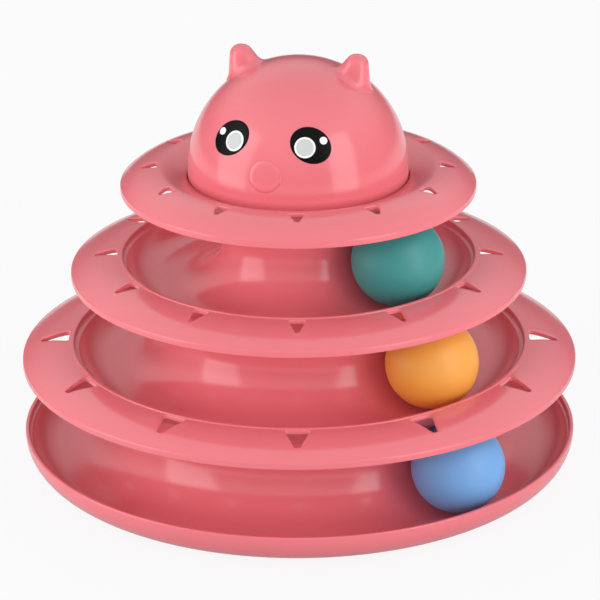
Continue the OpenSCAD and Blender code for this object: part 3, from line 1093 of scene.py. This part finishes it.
# %% [markdown]
# A white background must not light the toy more than its lamps do, or its colours wash out. So
# the world and the floor are white only to rays that are seen, straight or in a mirror. To the
# rays that carry light they are a soft grey, and the floor still takes the toy's shadow. What
# the plastic mirrors is darker near the horizon, like the dim lower part of a real room, which
# gives the round pieces a clear edge.

# %% Make the white world
WHITE = (1, 1, 1, 1)
SOFT_LIGHT = 0.55
DIM_BELOW, BRIGHT_ABOVE = 0.2, 0.6
DIM_WALL, BRIGHT_WALL = 0.12, 0.95


def seen_rays(tree):
    """The camera's own rays, and those with the rays that a shiny or clear piece sends on."""
    path = add_node(tree, "ShaderNodeLightPath")
    seen = maths(tree, "MAXIMUM", path.outputs["Is Camera Ray"], path.outputs["Is Glossy Ray"])
    seen = maths(tree, "MAXIMUM", seen, path.outputs["Is Transmission Ray"])
    return path.outputs["Is Camera Ray"], seen


def white_world():
    world = bpy.data.worlds.new("white_studio")
    scene.world = world
    world.use_nodes = True
    tree = world.node_tree
    tree.nodes.clear()
    camera_rays, seen = seen_rays(tree)
    soft = add_node(tree, "ShaderNodeBackground", {"Color": WHITE, "Strength": SOFT_LIGHT})
    way = add_node(tree, "ShaderNodeTexCoord").outputs["Generated"]
    lift = add_node(tree, "ShaderNodeSeparateXYZ", {0: way}).outputs["Z"]
    wall = add_node(tree, "ShaderNodeMapRange",
                    {"Value": lift, "From Min": DIM_BELOW, "From Max": BRIGHT_ABOVE,
                     "To Min": DIM_WALL, "To Max": BRIGHT_WALL})
    wall = maths(tree, "MAXIMUM", wall, camera_rays)
    white = add_node(tree, "ShaderNodeBackground", {"Color": WHITE, "Strength": wall})
    mix = add_node(tree, "ShaderNodeMixShader", {0: seen, 1: soft, 2: white})
    add_node(tree, "ShaderNodeOutputWorld", {0: mix})


white_world()

# %% Lay the floor
FLOOR_HALF = 3000.0
FLOOR_GREY = 0.6
WHITE_IN_GLOSS, WHITE_SEEN = 0.25, 0.9


def white_floor():
    corners = [(x * FLOOR_HALF, y * FLOOR_HALF, 0) for x, y in ((-1, -1), (1, -1), (1, 1), (-1, 1))]
    floor = mesh_object("floor", corners, [(0, 1, 2, 3)])
    material, tree, shader = new_material("white_floor")
    wire(tree, shader, {"Base Color": (FLOOR_GREY, FLOOR_GREY, FLOOR_GREY, 1), "Roughness": 0.6})
    camera_rays, seen = seen_rays(tree)
    glow = add_node(tree, "ShaderNodeEmission", {"Color": WHITE, "Strength": 1.0})
    share = add_node(tree, "ShaderNodeMapRange", {"Value": camera_rays, "To Min": WHITE_IN_GLOSS,
                                                  "To Max": WHITE_SEEN})
    share = maths(tree, "MULTIPLY", seen, share)
    mix = add_node(tree, "ShaderNodeMixShader", {0: share, 1: shader, 2: glow})
    wire(tree, tree.nodes["Material Output"], {0: mix})
    floor.data.materials.append(material)


white_floor()

# %% [markdown]
# Two tall softboxes stand close by, left and right of the camera. They are what the gloss
# mirrors: a pale upright patch on either side of the dome and on each hub. The large fills stand
# far back and aren't mirrored. They light the tracks under the brims, where a single lamp would
# leave deep shade.

# %% Place the lamps
# Each lamp's turn from the camera and lift, both in degrees, its distance, width and height in
# metres, and its power in watts
LAMPS = {"left_softbox": (-71, 18, 0.62, 0.4, 0.6, 1.3),
         "right_softbox": (48, 18, 0.62, 0.31, 0.6, 1.0),
         "front_fill": (0, 14, 1.6, 1.0, 0.5, 2.7),
         "left_front_fill": (-45, 12, 1.6, 1.0, 0.5, 4.2),
         "right_front_fill": (45, 12, 1.6, 1.0, 0.5, 4.4),
         "left_fill": (-95, 16, 1.5, 1.2, 0.6, 5.8),
         "right_fill": (95, 16, 1.5, 1.2, 0.6, 6.4),
         "back_fill": (180, 24, 1.6, 1.6, 0.6, 6.5)}
AIM = Vector((0, 0, 0.1))


def soft_lamp(name, turn, lift, distance, width, height, power):
    """A rectangular lamp round the toy, aimed at its middle. A softbox is also mirrored."""
    data = bpy.data.lights.new(name, "AREA")
    data.shape = "RECTANGLE"
    data.size, data.size_y = width, height
    data.energy = power
    lamp = placed(name, data)
    back = Vector(facing(turn + CAMERA_TURN, lift)[0])
    lamp.location = AIM + back * distance
    lamp.rotation_mode = "QUATERNION"
    lamp.rotation_quaternion = (-back).to_track_quat("-Z", "Y")
    lamp.visible_camera = False
    lamp.visible_glossy = name.endswith("softbox")


for name, values in LAMPS.items():
    soft_lamp(name, *values)
scene.view_settings.view_transform = "Standard"
print("lamps:", len(LAMPS))
